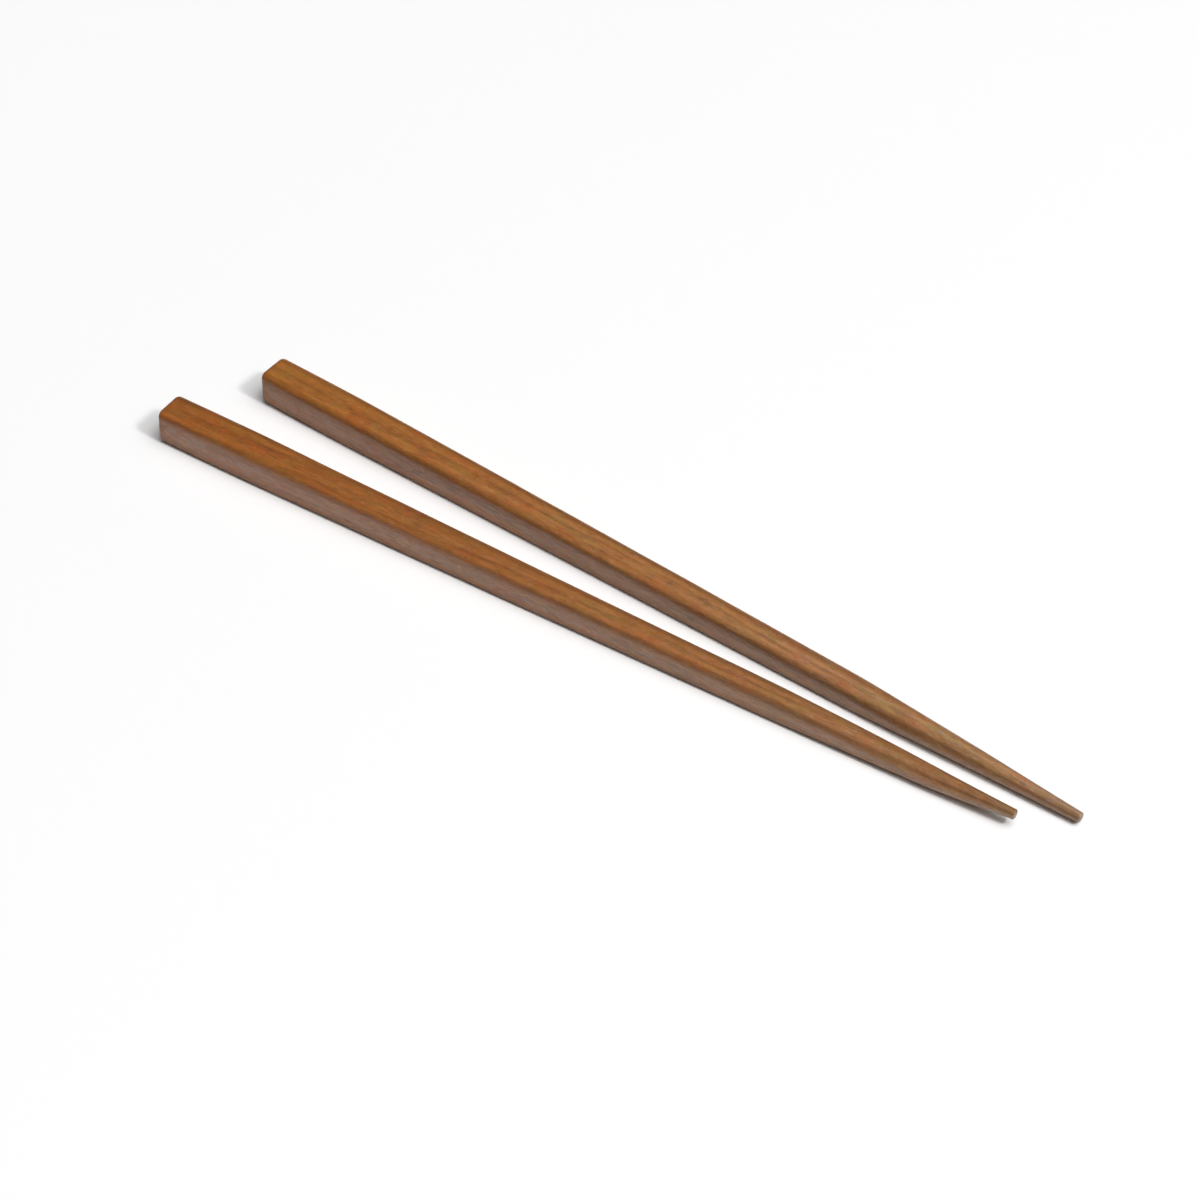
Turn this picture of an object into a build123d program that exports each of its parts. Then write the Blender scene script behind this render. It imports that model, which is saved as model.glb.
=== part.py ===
from build123d import *
import math
import os

# A pair of wooden chopsticks, lying side by side on a table with their tips closer than their heads.
# Each one is a single stick of wood. It is a bar with a square head end that tapers on four flat
# faces, with rounded long edges and a softened head end, and its tip is turned to a slim cone. The
# cone cuts away the corners first, so that each flat face runs out in a pointed tongue.
# Lengths are in millimetres. X runs from the heads to the tips, Y from the front stick to the back
# one, and Z up from the table. The origin is on the table, under the middle of the pair.

# The squared blank: its length, its thickness at the head end, and its two thicknesses at the tip end
stick_length = 225.0
head_size = 9.2
broad_tip = 5.7
narrow_tip = 4.6

# Rounding of the four long edges, and of the edges around the head end
long_edge_radius = 1.35
head_end_radius = 1.0

# The turned tip: how far back the turning reaches, the diameter left at the end, and its rounding
turned_length = 60.0
tip_diameter = 2.4
tip_end_radius = 0.3

# How the two sticks lie: distance between their centre lines at the heads and at the tips, and how
# much further forward the back one lies
head_spacing = 24.4
tip_spacing = 8.8
stagger = 11.0

# How far the cutting shapes reach past the wood
overrun = 1.0

# Each stick is turned by this angle, the two towards each other
splay = math.degrees(math.asin((head_spacing - tip_spacing) / 2 / stick_length))


def thickness_at(distance_from_tip, tip_size):
    """Thickness of the squared blank between one pair of faces, at a distance from the tip."""
    return tip_size + (head_size - tip_size) * distance_from_tip / stick_length


def blank_outline(tip_size):
    """Corners of the blank's long tapered outline, with the head end at x = 0."""
    return [
        (0, -head_size / 2),
        (stick_length, -tip_size / 2),
        (stick_length, tip_size / 2),
        (0, head_size / 2),
    ]


def turning_outline():
    """Corners of the half section of the wood that turning takes off around the tip."""
    half_broad = thickness_at(turned_length, broad_tip) / 2
    half_narrow = thickness_at(turned_length, narrow_tip) / 2
    # The cone starts where it is as wide as the blank across its rounded corners.
    corner_reach = long_edge_radius + math.hypot(half_broad - long_edge_radius, half_narrow - long_edge_radius)
    slope = (corner_reach - tip_diameter / 2) / turned_length
    start = stick_length - turned_length - overrun
    start_radius = corner_reach + slope * overrun
    return [
        (start, start_radius),
        (stick_length, tip_diameter / 2),
        (stick_length + overrun, tip_diameter / 2),
        (stick_length + overrun, start_radius + overrun),
        (start, start_radius + overrun),
    ]


def resting_plane(head_x, head_y, turn, tip_height):
    """The level middle plane of a stick that lies on its lower flat face, with x along the stick."""
    # The lower face is flat on the table, so the centre line dips to the tip by half of the taper.
    dip = math.degrees(math.atan((head_size - tip_height) / 2 / stick_length))
    along = Vector(1, 0, 0).rotate(Axis.Y, dip).rotate(Axis.Z, turn)
    sideways = Vector(0, 1, 0).rotate(Axis.Z, turn)
    head_z = head_size / 2 * math.cos(math.radians(dip))
    return Plane(origin=(head_x, head_y, head_z), x_dir=along, z_dir=along.cross(sideways))


def chopstick(middle, across_tip, upright_tip):
    """One chopstick on its middle plane, with the two thicknesses of its blank at the tip end."""
    side = Plane(origin=middle.origin, x_dir=middle.x_dir, z_dir=-middle.y_dir)
    centre_line = Axis(middle.origin, middle.x_dir)
    with BuildPart() as stick:
        # The squared blank, tapered in plan and then in side view
        with BuildSketch(middle):
            Polygon(*blank_outline(across_tip), align=None)
        extrude(amount=head_size, both=True)
        with BuildSketch(side):
            Polygon(*blank_outline(upright_tip), align=None)
        extrude(amount=head_size, both=True, mode=Mode.INTERSECT)

        # The rounded long edges, and then the softened edges around the head end
        fillet(stick.edges().sort_by(SortBy.LENGTH)[-4:], long_edge_radius)
        fillet(stick.faces().sort_by(centre_line)[0].edges(), head_end_radius)

        # The turned tip, with its rounded end
        with BuildSketch(side):
            Polygon(*turning_outline(), align=None)
        revolve(axis=centre_line, mode=Mode.SUBTRACT)
        fillet(stick.faces().sort_by(centre_line)[-1].edges(), tip_end_radius)
    return stick


# Places of the two head ends, with the pair's outline centred on the origin
reach = stick_length * math.cos(math.radians(splay))
front_head_x = -(reach + stagger) / 2
back_head_x = front_head_x + stagger
head_y = head_spacing / 2

# The front stick lies on a narrow face, so its tip is broad in height
front_rest = resting_plane(front_head_x, -head_y, splay, broad_tip)
front = chopstick(front_rest, across_tip=narrow_tip, upright_tip=broad_tip)
front.part.label = "front_chopstick"

# The back stick is the same one, rolled over by a quarter turn onto a broad face
back_rest = resting_plane(back_head_x, head_y, -splay, narrow_tip)
back = chopstick(back_rest, across_tip=broad_tip, upright_tip=narrow_tip)
back.part.label = "back_chopstick"

os.makedirs("parts", exist_ok=True)
export_step(front.part, "parts/front_chopstick.step")
export_step(back.part, "parts/back_chopstick.step")
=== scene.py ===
import math

import bpy
import numpy as np
from mathutils import Matrix, Vector, noise


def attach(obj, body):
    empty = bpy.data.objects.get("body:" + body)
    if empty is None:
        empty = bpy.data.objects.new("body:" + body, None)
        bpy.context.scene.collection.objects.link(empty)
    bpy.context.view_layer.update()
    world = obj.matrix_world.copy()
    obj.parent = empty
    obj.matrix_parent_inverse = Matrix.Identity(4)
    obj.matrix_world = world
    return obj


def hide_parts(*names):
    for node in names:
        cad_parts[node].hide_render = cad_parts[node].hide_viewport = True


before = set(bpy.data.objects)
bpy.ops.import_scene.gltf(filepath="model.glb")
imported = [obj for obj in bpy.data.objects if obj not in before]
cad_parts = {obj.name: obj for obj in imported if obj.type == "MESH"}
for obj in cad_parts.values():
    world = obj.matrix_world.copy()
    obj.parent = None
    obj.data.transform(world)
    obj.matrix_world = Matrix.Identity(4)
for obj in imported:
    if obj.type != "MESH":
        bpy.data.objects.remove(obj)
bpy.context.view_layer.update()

# A pair of wooden chopsticks on a white table. Sizes are in millimetres until a mesh, a lamp or the
# camera is made, and MM turns them into metres. X runs from the heads to the tips.
MM = 0.001

# The squared blank of a stick, its rounded edges and its turned tip
STICK_LENGTH = 225.0
HEAD_SIZE = 9.2
BROAD_TIP = 5.7
NARROW_TIP = 4.6
EDGE_RADIUS = 1.35
HEAD_RADIUS = 1.0
TURNED_LENGTH = 60.0
TIP_DIAMETER = 2.4
TIP_RADIUS = 0.3

# How the two sticks lie
HEAD_SPACING = 24.4
TIP_SPACING = 8.8
STAGGER = 11.0

# The long faces are crowned
CROWN = 0.045

# The radius of each long edge varies in slow waves, which it takes from a place of its own in the noise
EDGE_VARIATION = 0.12
EDGE_WAVE_LENGTH = 21.0
EDGE_NOISE_STEP = 0.37

# Planing waves and raised grain: their depth, and how many fit in a millimetre along and across
PLANING_DEPTH = 0.035
PLANING_STRETCH = (0.045, 0.16)
GRAIN_RELIEF = 0.014
GRAIN_STRETCH = (0.05, 1.5)

# How softly the turned cone runs into the flats
TURNING_BLEND = 0.14

# The ends: their low domes, and the shares of the end rounding that come off the edges and the faces
END_DOME = 0.07
EDGE_INSET_SHARE = 0.5
UPPER_WEAR_SHARE = 0.4
LOWER_WEAR_SHARE = 1.9

# The head end is a little narrower: by how much, over what length, and how fast this fades
HEAD_NARROWING = 0.28
NARROWED_LENGTH = 27.0
NARROWING_POWER = 1.5

# Darker bands along the long edges, partly rubbed wear and partly painted shade: on the rounding between
# top and side where it turns from the light, and on the lower edges by the table. How wide a band is, and
# where its middle lies on each rounding
WEAR_AND_SHADE_WIDTH = 0.95
WEAR_AND_SHADE_CENTRES = (0.95, 0.7, 0.3, 0.3)

# Darkening around the head end, partly rubbed wear and partly painted shade on its rounding that faces away
# from the light: how strong it is, and how far it reaches
HEAD_END_WEAR_AND_SHADE = 0.85
HEAD_END_WEAR_AND_SHADE_REACH = 1.3

# Points of the mesh: around each rounded edge, along each flat, along the stick and over the ends
EDGE_POINTS = 11
FLAT_POINTS = 27
RING_POINTS = 4 * (EDGE_POINTS + FLAT_POINTS)
BODY_RINGS = 560
ROUNDING_RINGS = 14
END_FACE_RINGS = 16

# The four long edges in turn, by the side that each lies on, across and upright
CORNERS = ((1, 1), (-1, 1), (-1, -1), (1, -1))
QUARTER_TURN = math.pi / 2

# Each stick takes its grain from a place of its own, this far along from that of the one before
GRAIN_SPACING = 300.0

# How each stick differs from a straight one. fullness is wood left over on its turned part, and drift
# and rise move its tip sideways and up. All three are knots of a share of the length and a size. It
# bows sideways and is back in line at bow_back_share. roll is the angle of its grain around it.
FRONT_SHAPE = dict(
    fullness=((0.74, 0.0), (0.9, 0.3), (1.02, -0.05)),
    drift=((0.86, 0.0), (1.04, -0.8)),
    rise=((0.8, 0.0), (0.9, -0.25), (1.04, 1.0)),
    bow=1.3,
    bow_back_share=0.55,
    roll=math.radians(12),
    paleness=0.0,
    seed=1,
)
BACK_SHAPE = dict(
    fullness=((0.0, 0.0), (1.0, 0.0)),
    drift=((0.0, 0.0), (1.0, 0.0)),
    rise=((0.86, 0.0), (1.0, -0.3)),
    bow=-1.3,
    bow_back_share=0.8,
    roll=math.radians(64),
    paleness=1.0,
    seed=2,
)


def rest_frame(head_x, head_y, turn, tip_height):
    """Matrix of a stick that lies on its lower face: x along it from the head end, z up from its middle."""
    dip = math.atan((HEAD_SIZE - tip_height) / 2 / STICK_LENGTH)
    place = Matrix.Translation((head_x, head_y, HEAD_SIZE / 2 * math.cos(dip)))
    return place @ Matrix.Rotation(turn, 4, "Z") @ Matrix.Rotation(dip, 4, "Y")


def eased(share, knots):
    """Smooth line through knots of share and value, held outside them."""
    places, values = zip(*knots)
    line = np.full_like(share, values[0])
    for i in range(len(places) - 1):
        t = np.clip((share - places[i]) / (places[i + 1] - places[i]), 0, 1)
        line += (values[i + 1] - values[i]) * t * t * (3 - 2 * t)
    return line


def turning_radius(along, fullness):
    """Radius of the turned cone at a distance from the head end. fullness is the wood left over on it."""
    start_share = TURNED_LENGTH / STICK_LENGTH
    half_broad = (BROAD_TIP + (HEAD_SIZE - BROAD_TIP) * start_share) / 2
    half_narrow = (NARROW_TIP + (HEAD_SIZE - NARROW_TIP) * start_share) / 2
    reach = EDGE_RADIUS + math.hypot(half_broad - EDGE_RADIUS, half_narrow - EDGE_RADIUS)
    slope = (reach - TIP_DIAMETER / 2) / TURNED_LENGTH
    left_over = eased(along / STICK_LENGTH, fullness)
    return TIP_DIAMETER / 2 + left_over + slope * (STICK_LENGTH - along)


def ring_places():
    """Distance from the head end and inset of every ring that lies on the stick's long surface."""
    turns = np.linspace(0.0, QUARTER_TURN, ROUNDING_RINGS)
    head = HEAD_RADIUS * (1 - np.cos(turns)) + END_DOME
    head_inset = HEAD_RADIUS * (1 - np.sin(turns))
    tip = STICK_LENGTH - END_DOME - TIP_RADIUS * (1 - np.cos(turns[::-1]))
    tip_inset = TIP_RADIUS * (1 - np.sin(turns[::-1]))
    body = np.linspace(head[-1], tip[0], BODY_RINGS + 2)[1:-1]
    places = np.concatenate([head, body, tip])
    insets = np.concatenate([head_inset, np.zeros(BODY_RINGS), tip_inset])
    return places, insets


def edge_radii(seed, places, insets):
    """Radius of one long edge at every ring."""
    spots = [Vector((x / EDGE_WAVE_LENGTH, seed, EDGE_NOISE_STEP * seed)) for x in places]
    waves = np.array([noise.noise(spot) for spot in spots])
    return EDGE_RADIUS + EDGE_VARIATION * waves - EDGE_INSET_SHARE * insets


def wear_and_shade_band(distance):
    """How much wear and painted shade the wood gets, at a distance around the stick from the middle of a
    darkened band.
    """
    return np.exp(-((distance / WEAR_AND_SHADE_WIDTH) ** 2))


def section_rings(across_tip, upright_tip, places, insets, seed):
    """Points of every ring of the squared blank, across and upright, and how much edge wear and painted
    shade each point gets.
    """
    share = places / STICK_LENGTH
    narrowing = HEAD_NARROWING * np.clip(1 - places / NARROWED_LENGTH, 0, 1) ** NARROWING_POWER
    half_a = (HEAD_SIZE + (across_tip - HEAD_SIZE) * share) / 2 - insets - narrowing
    half_u = (HEAD_SIZE + (upright_tip - HEAD_SIZE) * share) / 2 - narrowing
    # The ends are worn rounder below than above.
    reach_u = {1: half_u - UPPER_WEAR_SHARE * insets, -1: half_u - LOWER_WEAR_SHARE * insets}
    radii = [edge_radii(seed + k, places, insets) for k in range(4)]

    def on_edge(k, turns):
        """Points of every ring on one rounded edge, at an angle around the stick in quarter turns."""
        side_a, side_u = CORNERS[k]
        angle = turns * QUARTER_TURN
        point_a = side_a * (half_a - radii[k]) + radii[k] * math.cos(angle)
        point_u = side_u * (reach_u[side_u] - radii[k]) + radii[k] * math.sin(angle)
        return point_a, point_u

    # The points go round the section, over each rounded edge and then along the flat after it.
    arc = EDGE_RADIUS * QUARTER_TURN
    columns = []
    for k, centre_share in enumerate(WEAR_AND_SHADE_CENTRES):
        for turns in np.linspace(k, k + 1, EDGE_POINTS):
            point_a, point_u = on_edge(k, turns)
            distance = (turns - k - centre_share) * arc
            columns.append((point_a, point_u, np.full_like(places, wear_and_shade_band(distance))))
        after = (k + 1) % 4
        start_a, start_u = on_edge(k, k + 1)
        end_a, end_u = on_edge(after, k + 1)
        run = np.hypot(end_a - start_a, end_u - start_u)
        from_start = (1 - centre_share) * arc
        from_end = WEAR_AND_SHADE_CENTRES[after] * arc
        for t in np.linspace(0.0, 1.0, FLAT_POINTS + 2)[1:-1]:
            point_a = start_a + (end_a - start_a) * t
            point_u = start_u + (end_u - start_u) * t
            distance = np.minimum(t * run + from_start, (1 - t) * run + from_end)
            columns.append((point_a, point_u, wear_and_shade_band(distance)))
    a, u, wear_and_shade = (np.array(column).T for column in zip(*columns))
    return a, u, wear_and_shade


def hand_relief(a, u, places, seed):
    """Depth that long planing waves and the raised grain take off every point. They never add any."""
    plane_along, plane_across = PLANING_STRETCH
    grain_along, grain_across = GRAIN_STRETCH
    relief = np.zeros_like(a)
    for i, x in enumerate(places):
        for j in range(RING_POINTS):
            y, z = a[i, j], u[i, j]
            plane_spot = Vector((x * plane_along, y * plane_across + seed, z * plane_across))
            grain_spot = Vector((x * grain_along, y * grain_across, z * grain_across + seed))
            planing = PLANING_DEPTH * (1 + noise.noise(plane_spot)) / 2
            ridges = GRAIN_RELIEF * (1 + noise.noise(grain_spot)) / 2
            relief[i, j] = planing + ridges
    return relief


def shaped_rings(across_tip, upright_tip, places, insets, seed, fullness):
    """The rings after crowning, turning and hand finish, and how much edge wear and painted shade each
    point gets.
    """
    a, u, wear_and_shade = section_rings(across_tip, upright_tip, places, insets, seed)
    half_a = np.abs(a).max(axis=1, keepdims=True)
    half_u = np.abs(u).max(axis=1, keepdims=True)
    crown_a = 1 - CROWN / half_a * (u / half_u) ** 2
    crown_u = 1 - CROWN / half_u * (a / half_a) ** 2
    a, u = a * crown_a, u * crown_u

    # The cone cuts the blank, with a soft line where the two surfaces meet.
    reach = np.hypot(a, u)
    cone = (turning_radius(places, fullness) - insets)[:, None]
    mix = np.clip(0.5 + 0.5 * (cone - reach) / TURNING_BLEND, 0, 1)
    cut = cone * (1 - mix) + reach * mix - TURNING_BLEND * mix * (1 - mix)
    scale = (cut - hand_relief(a, u, places, seed)) / reach
    return a * scale, u * scale, wear_and_shade


def end_rings(a, u, place, direction):
    """Rings that close an end with a low dome, from its outline to its middle."""
    shares = np.linspace(1.0, 0.0, END_FACE_RINGS + 2)[1:-1]
    rise = END_DOME * (1 - shares**2)
    return shares[:, None] * a, shares[:, None] * u, place + direction * rise


def straight_stick(across_tip, upright_tip, fullness, seed):
    """Points of the rings and then of both end centres, and the edge wear and painted shade and the end
    grain at each.
    """
    places, insets = ring_places()
    a, u, wear_and_shade = shaped_rings(across_tip, upright_tip, places, insets, seed, fullness)
    # Painted shade and wear on the head end's rounding.
    head_wear_and_shade = HEAD_END_WEAR_AND_SHADE * np.exp(-((places / HEAD_END_WEAR_AND_SHADE_REACH) ** 2))
    wear_and_shade = np.maximum(wear_and_shade, head_wear_and_shade[:, None]).ravel()
    head_a, head_u, head_x = end_rings(a[0], u[0], places[0], -1)
    tip_a, tip_u, tip_x = end_rings(a[-1], u[-1], places[-1], 1)
    a = np.concatenate([head_a[::-1], a, tip_a])
    u = np.concatenate([head_u[::-1], u, tip_u])
    along = np.repeat(np.concatenate([head_x[::-1], places, tip_x]), RING_POINTS)
    centres = np.array([[0.0, 0.0, 0.0], [STICK_LENGTH, 0.0, 0.0]])
    points = np.concatenate([np.stack([along, a.ravel(), u.ravel()], axis=1), centres])

    # The end faces and their centres are all end grain, and get no edge wear or painted shade.
    face = np.ones(END_FACE_RINGS * RING_POINTS)
    middles = np.ones(len(centres))
    edge = np.concatenate([0 * face, wear_and_shade, 0 * face, 0 * middles])
    end = np.concatenate([face, 0 * wear_and_shade, face, middles])
    return points, edge, end


def skin_faces(rings):
    """Quads between the rings, and triangles that close each end on its centre."""
    faces = []
    for i in range(rings - 1):
        here, beyond = i * RING_POINTS, (i + 1) * RING_POINTS
        for j in range(RING_POINTS):
            k = (j + 1) % RING_POINTS
            faces.append((here + j, here + k, beyond + k, beyond + j))
    last = (rings - 1) * RING_POINTS
    head_centre = rings * RING_POINTS
    tip_centre = head_centre + 1
    for j in range(RING_POINTS):
        k = (j + 1) % RING_POINTS
        faces.append((head_centre, k, j))
        faces.append((tip_centre, last + j, last + k))
    return faces


def grain_places(points, seed, roll):
    """Places of the points in the log that the stick was cut from, at an angle of its own."""
    x, y, z = points.T
    c, s = math.cos(roll), math.sin(roll)
    return np.stack([x + GRAIN_SPACING * seed, c * y - s * z, s * y + c * z], axis=1)


def bent(points, bow, bow_back_share, drift, rise):
    """Points of a stick that bent as it dried. It bows sideways, and its tip drifts, sinks or rises."""
    share = points[:, 0] / STICK_LENGTH
    sideways = bow * share * (share - bow_back_share) + eased(share, drift)
    return points + np.stack([np.zeros_like(share), sideways, eased(share, rise)], axis=1)


def add_attribute(mesh, name, values):
    """A number or a vector at every point, for the material to read."""
    kind, field = ("FLOAT_VECTOR", "vector") if values.ndim == 2 else ("FLOAT", "value")
    made = mesh.attributes.new(name, kind, "POINT")
    made.data.foreach_set(field, values.astype(np.float32).ravel())


def stick_mesh(name, across_tip, upright_tip, fullness, seed, roll, paleness, **bend):
    """Mesh of one stick in its own frame, with what its material reads."""
    points, edge, end = straight_stick(across_tip, upright_tip, fullness, seed)
    faces = skin_faces(len(points) // RING_POINTS)
    mesh = bpy.data.meshes.new(name)
    mesh.from_pydata((bent(points, **bend) * MM).tolist(), [], faces)
    mesh.polygons.foreach_set("use_smooth", np.ones(len(mesh.polygons), bool))
    # The edge attribute carries rubbed wear and painted shade: dark bands on the long edges and around the
    # head end.
    add_attribute(mesh, "edge", edge)
    add_attribute(mesh, "end", end)
    add_attribute(mesh, "grain", grain_places(points, seed, roll))
    add_attribute(mesh, "paleness", np.full(len(points), paleness))
    mesh.update()
    return mesh


def chopstick(name, node, matrix, material, **shape):
    """One finished stick, in the place of its node."""
    mesh = stick_mesh(name, **shape)
    matrix = matrix.copy()
    matrix.translation *= MM
    mesh.transform(matrix)
    mesh.materials.append(material)
    piece = bpy.data.objects.new(name, mesh)
    bpy.context.scene.collection.objects.link(piece)
    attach(piece, "root")
    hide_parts(node)


def pair(material):
    """Both sticks, cut alike and lying a quarter turn apart, in the places of their nodes."""
    splay = math.asin((HEAD_SPACING - TIP_SPACING) / 2 / STICK_LENGTH)
    reach = STICK_LENGTH * math.cos(splay)
    front_x = -(reach + STAGGER) / 2
    back_x = front_x + STAGGER
    front_rest = rest_frame(front_x, -HEAD_SPACING / 2, splay, BROAD_TIP)
    back_rest = rest_frame(back_x, HEAD_SPACING / 2, -splay, NARROW_TIP)
    front_tip = dict(across_tip=NARROW_TIP, upright_tip=BROAD_TIP)
    back_tip = dict(across_tip=BROAD_TIP, upright_tip=NARROW_TIP)
    chopstick("front_stick", "front_chopstick", front_rest, material, **front_tip, **FRONT_SHAPE)
    chopstick("back_stick", "back_chopstick", back_rest, material, **back_tip, **BACK_SHAPE)


def empty_tree(owner):
    """The cleared node tree of a material or a world."""
    owner.use_nodes = True
    owner.node_tree.nodes.clear()
    return owner.node_tree


def add(tree, kind, inputs=(), **settings):
    """A shader node with its settings. inputs has sockets by name or number, with values or links."""
    made = tree.nodes.new(kind)
    for key, value in settings.items():
        setattr(made, key, value)
    for key, value in dict(inputs).items():
        if isinstance(value, bpy.types.NodeSocket):
            tree.links.new(value, made.inputs[key])
        else:
            made.inputs[key].default_value = value
    return made


def math_node(tree, operation, first, second=0.0, clamp=False):
    inputs = {0: first, 1: second}
    return add(tree, "ShaderNodeMath", inputs, operation=operation, use_clamp=clamp).outputs[0]


def plus(tree, first, second, clamp=False):
    return math_node(tree, "ADD", first, second, clamp)


def minus(tree, first, second):
    return math_node(tree, "SUBTRACT", first, second)


def times(tree, first, second, clamp=False):
    return math_node(tree, "MULTIPLY", first, second, clamp)


def remap(tree, value, low, high, to_low=0.0, to_high=1.0, smooth=True):
    """value between low and high becomes to_low to to_high, held outside them."""
    inputs = {"Value": value, "From Min": low, "From Max": high, "To Min": to_low, "To Max": to_high}
    kind = "SMOOTHSTEP" if smooth else "LINEAR"
    return add(tree, "ShaderNodeMapRange", inputs, interpolation_type=kind).outputs["Result"]


def mixed(tree, share, first, second, blend="MIX"):
    """Mix of two colours. Sockets go by number, because those for colours and numbers share names."""
    inputs = {0: share, 6: first, 7: second}
    return add(tree, "ShaderNodeMix", inputs, data_type="RGBA", blend_type=blend).outputs[2]


def mixed_number(tree, share, first, second):
    """Mix of two numbers."""
    inputs = {0: share, 2: first, 3: second}
    return add(tree, "ShaderNodeMix", inputs, data_type="FLOAT").outputs[0]


def tinted(tree, share, base, tint):
    """base, with a share of it multiplied by tint."""
    return mixed(tree, share, base, mixed(tree, 1.0, base, tint, "MULTIPLY"))


def colour(red, green, blue):
    return (red, green, blue, 1.0)


def attribute(tree, name, output="Fac"):
    """What the mesh gives at every point."""
    return add(tree, "ShaderNodeAttribute", attribute_name=name).outputs[output]


def grain_noise(tree, grain, along, across, detail=2.0, roughness=0.5):
    """Noise on the grain places, with so many features in a millimetre along and across the grain."""
    stretch = (along, across, across)
    scaled = add(tree, "ShaderNodeVectorMath", {0: grain, 1: stretch}, operation="MULTIPLY")
    inputs = {"Vector": scaled.outputs[0], "Scale": 1.0, "Detail": detail, "Roughness": roughness}
    return add(tree, "ShaderNodeTexNoise", inputs, noise_dimensions="3D").outputs["Fac"]


# How far the stick was from the pith of the log, sideways and up
FROM_PITH = (31.0, 42.0)

# Growth rings: their width, and the noise that bends them with how many widths it shifts them
RING_WIDTH = 2.3
RING_WANDER = dict(along=0.011, across=0.09)
RING_WANDER_WIDTHS = 3.4

# A ring is pale by the one share of its width, and darkens again from the other on
PALE_BY_SHARE = 0.18
DARKER_FROM_SHARE = 0.45


def growth_rings(tree, grain):
    """Paleness of the wood across its growth rings, around a pith outside the stick."""
    place = add(tree, "ShaderNodeSeparateXYZ", {0: grain}).outputs
    side = plus(tree, place["Y"], FROM_PITH[0])
    up = plus(tree, place["Z"], FROM_PITH[1])
    depth = math_node(tree, "SQRT", plus(tree, times(tree, side, side), times(tree, up, up)))
    wander = times(tree, grain_noise(tree, grain, **RING_WANDER), RING_WANDER_WIDTHS)
    count = plus(tree, math_node(tree, "DIVIDE", depth, RING_WIDTH), wander)
    ring = math_node(tree, "FRACT", count)
    early = remap(tree, ring, 0.0, PALE_BY_SHARE)
    late = remap(tree, ring, DARKER_FROM_SHARE, 1.0, 1.0, 0.0)
    return times(tree, early, late)


# The tone of the wood is part ring and part streak
RING_TONE_SHARE = 0.35
STREAK_TONE_SHARE = 0.65
STREAKS = dict(along=0.02, across=1.3, detail=4.0, roughness=0.6)

# Tones and their colours, from dark to pale
WOOD_TONES = (
    (0.28, colour(0.236, 0.070, 0.008)),
    (0.46, colour(0.284, 0.087, 0.011)),
    (0.62, colour(0.324, 0.101, 0.013)),
    (0.78, colour(0.366, 0.120, 0.019)),
)


def tone_colour(tree, grain):
    """Colour of the rings and streaks."""
    rings = times(tree, growth_rings(tree, grain), RING_TONE_SHARE)
    streaks = times(tree, grain_noise(tree, grain, **STREAKS), STREAK_TONE_SHARE)
    ramp = add(tree, "ShaderNodeValToRGB", {"Fac": plus(tree, rings, streaks)})
    elements = ramp.color_ramp.elements
    elements[0].position, elements[0].color = WOOD_TONES[0]
    elements[1].position, elements[1].color = WOOD_TONES[-1]
    for position, value in WOOD_TONES[1:-1]:
        elements.new(position).color = value
    return ramp.outputs["Color"]


# Places of other hues: the noise, its range with how much of the hue both ends of it get, and the hue
PATCHES = dict(along=0.014, across=0.11)
PATCH_RANGE = (0.35, 0.65, 0.0, 0.35)
PATCH_BROWN = colour(0.315, 0.104, 0.011)
HUES = dict(along=0.13, across=0.45, detail=4.0, roughness=0.6)
REDDER_RANGE = (0.5, 0.70, 0.0, 0.65)
REDDER_BROWN = colour(0.365, 0.080, 0.0095)
OLIVE_RANGE = (0.5, 0.30, 0.0, 0.5)
OLIVE_BROWN = colour(0.272, 0.128, 0.014)

# Fibres and soft clouds: the noise, its range and the brightness at both ends of it
FIBRES = dict(along=0.11, across=8.0, detail=3.0, roughness=0.6)
FIBRE_RANGE = (0.3, 0.7)
FIBRE_SHADE = (0.86, 1.12)
CLOUDS = dict(along=0.22, across=0.75, detail=4.0, roughness=0.65)
CLOUD_RANGE = (0.25, 0.75)
CLOUD_SHADE = (0.74, 1.26)


def plain_wood(tree, grain, fibre):
    """Colour of the wood between its pores."""
    base = tone_colour(tree, grain)
    patch = grain_noise(tree, grain, **PATCHES)
    hue = grain_noise(tree, grain, **HUES)
    base = mixed(tree, remap(tree, patch, *PATCH_RANGE), base, PATCH_BROWN)
    base = mixed(tree, remap(tree, hue, *REDDER_RANGE), base, REDDER_BROWN)
    base = mixed(tree, remap(tree, hue, *OLIVE_RANGE), base, OLIVE_BROWN)
    shade = remap(tree, fibre, *FIBRE_RANGE, *FIBRE_SHADE, smooth=False)
    cloud = remap(tree, grain_noise(tree, grain, **CLOUDS), *CLOUD_RANGE, *CLOUD_SHADE, smooth=False)
    base = mixed(tree, 1.0, base, shade, "MULTIPLY")
    return mixed(tree, 1.0, base, cloud, "MULTIPLY")


# Pores, vessels that show as dark dashes, and pale flecks: the noise, its range, strength and colour
PORES = dict(along=0.4, across=2.4, detail=2.0, roughness=0.6)
PORE_RANGE = (0.56, 0.70)
PORE_SHARE = 0.42
PORE_BROWN = colour(0.11, 0.042, 0.014)
VESSELS = dict(along=0.16, across=5.2, detail=1.0)
VESSEL_RANGE = (0.62, 0.72)
VESSEL_SHARE = 0.6
VESSEL_BROWN = colour(0.085, 0.032, 0.012)
FLECKS = dict(along=0.5, across=3.0, detail=1.0)
FLECK_RANGE = (0.62, 0.74)
FLECK_SHARE = 0.22
FLECK_TAN = colour(0.46, 0.24, 0.10)


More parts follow.
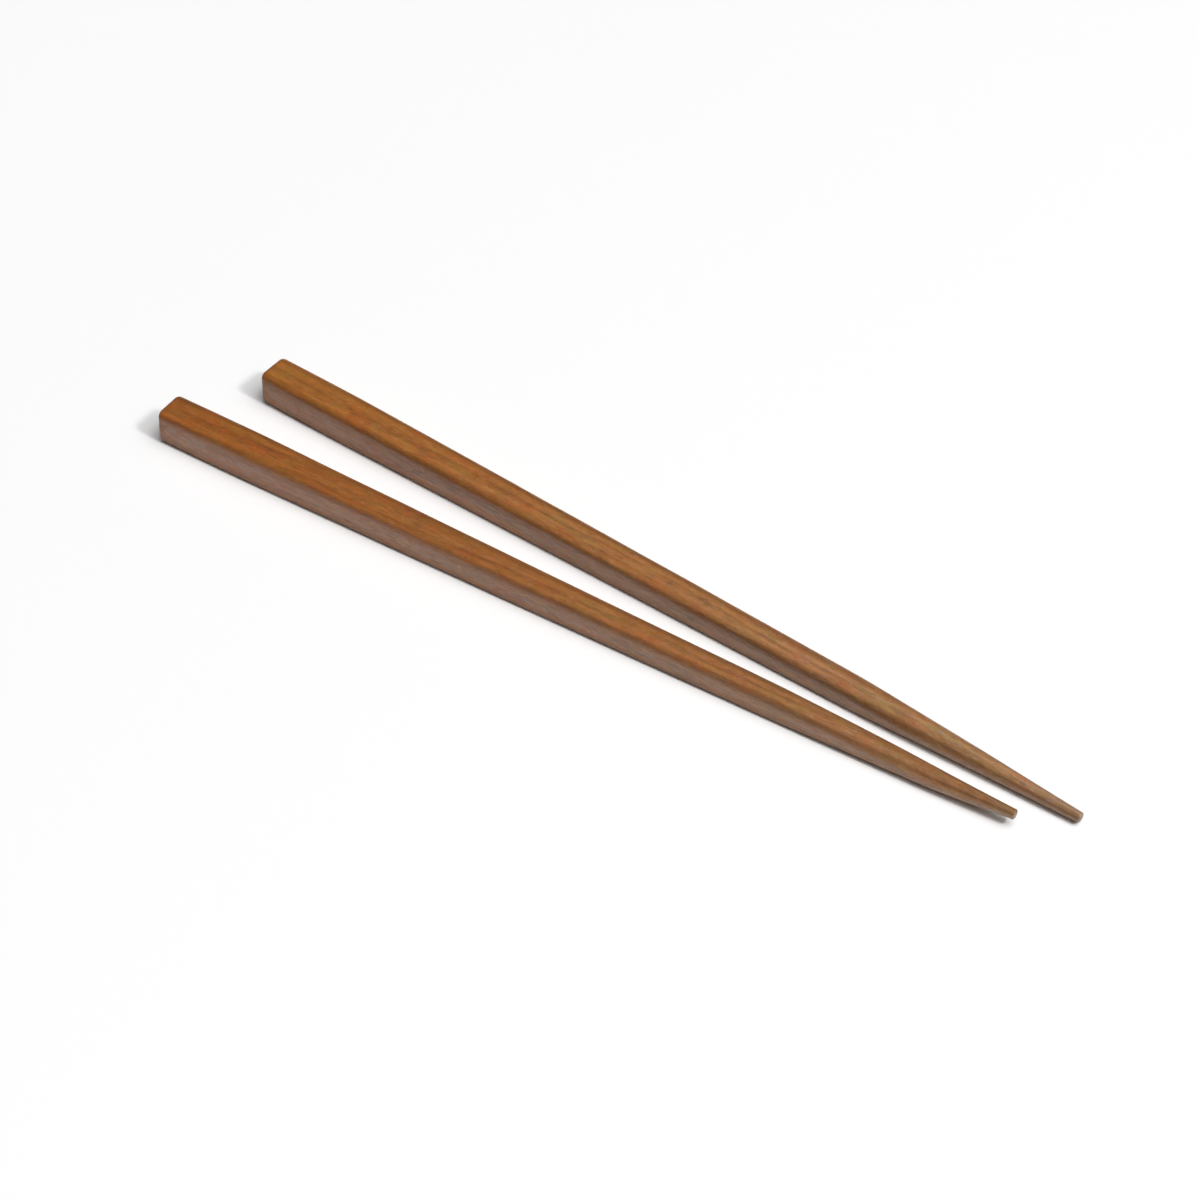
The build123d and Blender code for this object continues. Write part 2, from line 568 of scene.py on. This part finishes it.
def open_grain(tree, base, grain, pore, vessel):
    """base with its pores, vessels and flecks."""
    fleck = remap(tree, grain_noise(tree, grain, **FLECKS), *FLECK_RANGE)
    base = mixed(tree, times(tree, pore, PORE_SHARE), base, PORE_BROWN)
    base = mixed(tree, times(tree, vessel, VESSEL_SHARE), base, VESSEL_BROWN)
    return mixed(tree, times(tree, fleck, FLECK_SHARE), base, FLECK_TAN)


# Use pales the wood between these distances from the head end, more and more towards the tip
USED_RANGE = (10.0, 235.0)
USED_POWER = 1.5
USED_SHARE = 0.85
USED_TINT = colour(1.14, 1.98, 6.4)

# Soaking turns the end of the tip darker and cooler between these distances from the head end
SOAKED_RANGE = (203.0, 226.0)
SOAKED_TINT = colour(0.84, 0.96, 1.15)

# End grain drinks more of the finish
END_GRAIN_SHARE = 0.45
END_GRAIN_BROWN = colour(0.16, 0.065, 0.022)

# Edges are darker, partly from rubbed wear and partly from painted shade on the roundings and lower edges;
# less so where use is least and more where it is most
WEAR_AND_SHADE_SHARES = (0.36, 0.68)
WEAR_AND_SHADE_BROWN = colour(0.13, 0.046, 0.013)

# The wood beside them is worn too, but paler
WORN_POWER = 0.35
BESIDE_EDGE_SHARE = 0.6
BESIDE_EDGE_BROWN = colour(0.42, 0.14, 0.02)


def used_wood(tree, base, grain, end, edge, worn):
    """base with what use has done to its tip, its ends and its edges, and the painted shade along its
    edges.
    """
    along = add(tree, "ShaderNodeSeparateXYZ", {0: grain}).outputs["X"]
    from_head = math_node(tree, "MODULO", along, GRAIN_SPACING)
    use = math_node(tree, "POWER", remap(tree, from_head, *USED_RANGE, smooth=False), USED_POWER)
    base = tinted(tree, times(tree, use, USED_SHARE), base, USED_TINT)
    base = tinted(tree, remap(tree, from_head, *SOAKED_RANGE), base, SOAKED_TINT)
    base = mixed(tree, times(tree, end, END_GRAIN_SHARE), base, END_GRAIN_BROWN)
    wear_and_shade_mix = times(tree, edge, remap(tree, use, 0.0, 1.0, *WEAR_AND_SHADE_SHARES, smooth=False))
    # Painted shade and wear: darker bands on the long edges and around the head end.
    base = mixed(tree, wear_and_shade_mix, base, WEAR_AND_SHADE_BROWN)
    beside = minus(tree, worn, edge)
    return mixed(tree, times(tree, beside, BESIDE_EDGE_SHARE), base, BESIDE_EDGE_BROWN)


# Lacquer: its weight on the darker and on the paler stick, and its gloss
COAT_WEIGHTS = (0.8, 0.5)
COAT_ROUGHNESS = 0.22
COAT_IOR = 1.5

# Its blotches: the noise, its range and how many times the weight both ends of it get
BLOTCHES = dict(along=0.6, across=1.7, detail=4.0, roughness=0.75)
BLOTCH_RANGE = (0.36, 0.64)
BLOTCH_THICKNESS = (0.1, 1.9)


def lacquer_weight(tree, grain, pale, worn):
    """Weight of the lacquer, which lies in blotches and is thinner where hands have rubbed it."""
    weight = remap(tree, pale, 0.0, 1.0, *COAT_WEIGHTS, smooth=False)
    left = times(tree, weight, minus(tree, 1.0, worn))
    blotch = grain_noise(tree, grain, **BLOTCHES)
    thickness = remap(tree, blotch, *BLOTCH_RANGE, *BLOTCH_THICKNESS, smooth=False)
    return times(tree, left, thickness, clamp=True)


# Roughness of the wood at both ends of the range of the fibres, and what vessels and end grain add to it
FIBRE_ROUGHNESS = (0.36, 0.46)
VESSEL_ROUGHNESS = 0.2
END_ROUGHNESS = 0.15


def wood_roughness(tree, fibre, vessel, end):
    """Roughness of the wood under the lacquer."""
    rough = remap(tree, fibre, *FIBRE_RANGE, *FIBRE_ROUGHNESS, smooth=False)
    rough = plus(tree, rough, times(tree, vessel, VESSEL_ROUGHNESS))
    return plus(tree, rough, times(tree, end, END_ROUGHNESS))


# Fine relief: the depth of a pore, the heights of fibres and dents in such depths, and its strength
PORE_DEPTH = 0.02
FIBRE_HEIGHT = 0.5
DENTS = dict(along=0.5, across=0.9, detail=4.0, roughness=0.6)
DENT_HEIGHT = 25.0
RELIEF_STRENGTH = 0.8


def fine_relief(tree, grain, fibre, vessel, pore):
    """Raised fibres, sunken pores and vessels, and shallow dents."""
    height = minus(tree, times(tree, fibre, FIBRE_HEIGHT), vessel)
    height = minus(tree, height, pore)
    height = plus(tree, height, times(tree, grain_noise(tree, grain, **DENTS), DENT_HEIGHT))
    inputs = {"Strength": RELIEF_STRENGTH, "Distance": PORE_DEPTH * MM, "Height": height}
    return add(tree, "ShaderNodeBump", inputs).outputs["Normal"]


# The tint that makes the paler stick, and how strongly wood reflects
PALER_TINT = colour(1.10, 1.22, 1.5)
WOOD_IOR = 1.5


def wood_material():
    """Brown hardwood under a thin satin lacquer."""
    material = bpy.data.materials.new("chopstick_wood")
    tree = empty_tree(material)
    grain = attribute(tree, "grain", "Vector")
    # edge holds the rubbed wear and the painted shade of the edges.
    edge = attribute(tree, "edge")
    end = attribute(tree, "end")
    pale = attribute(tree, "paleness")
    worn = math_node(tree, "POWER", edge, WORN_POWER)
    fibre = grain_noise(tree, grain, **FIBRES)
    vessel = remap(tree, grain_noise(tree, grain, **VESSELS), *VESSEL_RANGE)
    pore = remap(tree, grain_noise(tree, grain, **PORES), *PORE_RANGE)
    base = plain_wood(tree, grain, fibre)
    base = open_grain(tree, base, grain, pore, vessel)
    base = tinted(tree, pale, base, PALER_TINT)
    base = used_wood(tree, base, grain, end, edge, worn)
    inputs = {
        "Base Color": base,
        "Roughness": wood_roughness(tree, fibre, vessel, end),
        "IOR": WOOD_IOR,
        "Coat Weight": lacquer_weight(tree, grain, pale, worn),
        "Coat Roughness": COAT_ROUGHNESS,
        "Coat IOR": COAT_IOR,
        "Normal": fine_relief(tree, grain, fibre, vessel, pore),
    }
    shader = add(tree, "ShaderNodeBsdfPrincipled", inputs)
    add(tree, "ShaderNodeOutputMaterial", {"Surface": shader.outputs["BSDF"]})
    return material


# The table: how light it shows, how much light it gives back, the glow added as it shows, and its size
FLOOR_SHOWN = 0.95
FLOOR_GIVEN = 0.6
FLOOR_LIFT = 0.01
FLOOR_HALF_SIZE = 3000.0
WHITE = colour(1.0, 1.0, 1.0)


def shown_rays(tree):
    """1 for camera, glossy and transmission rays, 0 for the rays that carry light."""
    rays = add(tree, "ShaderNodeLightPath")
    seen = plus(tree, rays.outputs["Is Camera Ray"], rays.outputs["Is Glossy Ray"], clamp=True)
    return plus(tree, seen, rays.outputs["Is Transmission Ray"], clamp=True)


def table_material():
    """A plain finish that shows as white and keeps the sticks' shadow."""
    material = bpy.data.materials.new("white_table")
    tree = empty_tree(material)
    shown = shown_rays(tree)
    paint = remap(tree, shown, 0.0, 1.0, FLOOR_GIVEN, FLOOR_SHOWN)
    matt = add(tree, "ShaderNodeBsdfDiffuse", {"Color": paint})
    glow = add(tree, "ShaderNodeEmission", {"Color": WHITE, "Strength": times(tree, shown, FLOOR_LIFT)})
    both = add(tree, "ShaderNodeAddShader", {0: matt.outputs[0], 1: glow.outputs[0]})
    add(tree, "ShaderNodeOutputMaterial", {"Surface": both.outputs[0]})
    return material


def table():
    """The white table that the sticks lie on."""
    half = FLOOR_HALF_SIZE * MM
    corners = [(-half, -half, 0), (half, -half, 0), (half, half, 0), (-half, half, 0)]
    mesh = bpy.data.meshes.new("table")
    mesh.from_pydata(corners, [], [(0, 1, 2, 3)])
    mesh.materials.append(table_material())
    floor = bpy.data.objects.new("table", mesh)
    bpy.context.scene.collection.objects.link(floor)


# The bright screen overhead that lights the sticks, and how sharply its light falls off to its sides
SCREEN_AZIMUTH = math.radians(-4.0)
SCREEN_ELEVATION = math.radians(68.0)
SCREEN_BRIGHTNESS = 6.08
SCREEN_FALLOFF = 13.0

# The room as it shows: white at the horizon, and grey from a low height up
WHITE_UP_TO = 0.0
GREY_FROM = 0.2
CEILING_GREY = 0.05


def room():
    """World that shows a white backdrop and a grey ceiling, and gives a broad soft light from above."""
    world = bpy.data.worlds.new("room")
    bpy.context.scene.world = world
    tree = empty_tree(world)
    direction = add(tree, "ShaderNodeTexCoord").outputs["Generated"]
    height = add(tree, "ShaderNodeSeparateXYZ", {0: direction}).outputs["Z"]
    seen = remap(tree, height, WHITE_UP_TO, GREY_FROM, 1.0, CEILING_GREY)
    level = math.cos(SCREEN_ELEVATION)
    level_x = level * math.cos(SCREEN_AZIMUTH)
    level_y = level * math.sin(SCREEN_AZIMUTH)
    middle = (level_x, level_y, math.sin(SCREEN_ELEVATION))
    facing = add(tree, "ShaderNodeVectorMath", {0: direction, 1: middle}, operation="DOT_PRODUCT")
    facing = math_node(tree, "MAXIMUM", facing.outputs["Value"], 0.0)
    light = times(tree, math_node(tree, "POWER", facing, SCREEN_FALLOFF), SCREEN_BRIGHTNESS)
    strength = mixed_number(tree, shown_rays(tree), light, seen)
    background = add(tree, "ShaderNodeBackground", {"Color": WHITE, "Strength": strength})
    add(tree, "ShaderNodeOutputWorld", {"Surface": background.outputs[0]})


# The square lamp: its distance, its side, where it stands and its power in watts
LAMP_DISTANCE = 3000.0
LAMP_SIDE = 420.0
LAMP_AZIMUTH = math.radians(-3.0)
LAMP_ELEVATION = math.radians(48.0)
LAMP_POWER = 34.7


def key_light():
    """One square lamp above the sticks that faces them."""
    turn = Matrix.Rotation(LAMP_AZIMUTH, 3, "Z") @ Matrix.Rotation(-LAMP_ELEVATION, 3, "Y")
    away = turn @ Vector((1, 0, 0))
    data = bpy.data.lights.new("key_light", "AREA")
    data.shape = "SQUARE"
    data.size = LAMP_SIDE * MM
    data.energy = LAMP_POWER
    lamp = bpy.data.objects.new("key_light", data)
    lamp.location = away * LAMP_DISTANCE * MM
    lamp.rotation_mode = "QUATERNION"
    lamp.rotation_quaternion = away.to_track_quat("Z", "Y")
    bpy.context.scene.collection.objects.link(lamp)


# The camera: the point that it looks at, its distance, how far it is turned and tipped, and its lens
CAMERA_TARGET = (-4.5, 0.35, 0.0)
CAMERA_DISTANCE = 1000.0
CAMERA_TURN = math.radians(35.7)
CAMERA_DOWN = math.radians(44.0)
CAMERA_LENS = 134.9
CAMERA_SENSOR = 36.0


def camera():
    """The photograph's view: from the front right, looking down."""
    data = bpy.data.cameras.new("camera")
    data.lens = CAMERA_LENS
    data.sensor_width = CAMERA_SENSOR
    eye = bpy.data.objects.new("camera", data)
    turn = Matrix.Rotation(CAMERA_TURN, 4, "Z") @ Matrix.Rotation(QUARTER_TURN - CAMERA_DOWN, 4, "X")
    back = turn @ Vector((0, 0, CAMERA_DISTANCE))
    eye.matrix_world = Matrix.Translation((Vector(CAMERA_TARGET) + back) * MM) @ turn
    bpy.context.scene.collection.objects.link(eye)
    bpy.context.scene.camera = eye


pair(wood_material())
table()
room()
key_light()
camera()
bpy.context.scene.view_settings.view_transform = "Standard"
